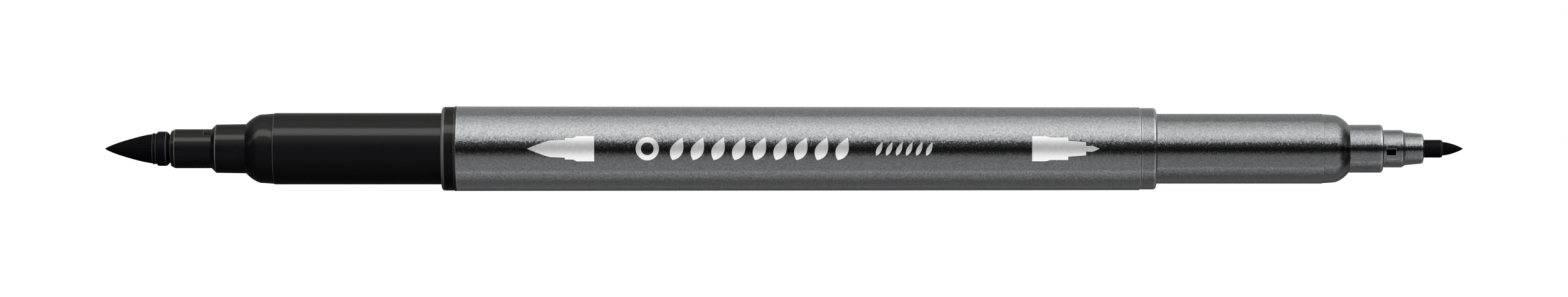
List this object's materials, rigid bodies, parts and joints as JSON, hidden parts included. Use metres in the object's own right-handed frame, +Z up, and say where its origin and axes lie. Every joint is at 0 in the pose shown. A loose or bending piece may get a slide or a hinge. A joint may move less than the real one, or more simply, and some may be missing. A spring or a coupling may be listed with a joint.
{
  "type": "calligraphy marker",
  "caption": "Slim double-ended calligraphy marker, uncapped: large flexible brush tip on one end, small brush tip on the other, on a tapered metallic barrel.",
  "frame": {"origin": "on the pen's axis, half way between the two brush points", "axes": "+X along the pen from the large brush towards the small brush; +Z up, with the printed side facing -Y"},
  "size_m": [0.1704, 0.0106, 0.0106],
  "materials": {
    "metallic_grey": "fine silver flake in a dark grey gloss coat",
    "black_moulding": "satin injection moulding",
    "gloss_black": "gloss injection moulding",
    "brush_fibre": "ink-soaked fine fibre bundle",
    "reservoir_fibre": "ink-soaked fibre rod",
    "clear_film": "thin clear film",
    "silver_foil": "silver-white hot foil decoration, stamped on the barrel"
  },
  "bodies": {
    "pen": {"barrel": "metallic_grey", "large_tip_section": "black_moulding", "small_tip_section": "metallic_grey", "large_nib_sleeve": "gloss_black", "small_nib_sleeve": "gloss_black", "reservoir_core": "reservoir_fibre", "reservoir_wrap": "clear_film", "large_brush_stem": "brush_fibre", "small_brush_stem": "brush_fibre"},
    "large_brush": {"large_brush_tip": "brush_fibre"},
    "small_brush": {"small_brush_tip": "brush_fibre"}
  },
  "joints": [
    {"name": "large_brush_bend", "type": "hinge", "parent": "pen", "child": "large_brush", "pos_m": [-0.07921, 0, 0], "axis": [0, 1, 0], "range_deg": [-25, 25], "stiffness_Nm_per_rad": 0.008},
    {"name": "small_brush_bend", "type": "hinge", "parent": "pen", "child": "small_brush", "pos_m": [0.0826, 0, 0], "axis": [0, 1, 0], "range_deg": [-25, 25], "stiffness_Nm_per_rad": 0.0018}
  ]
}
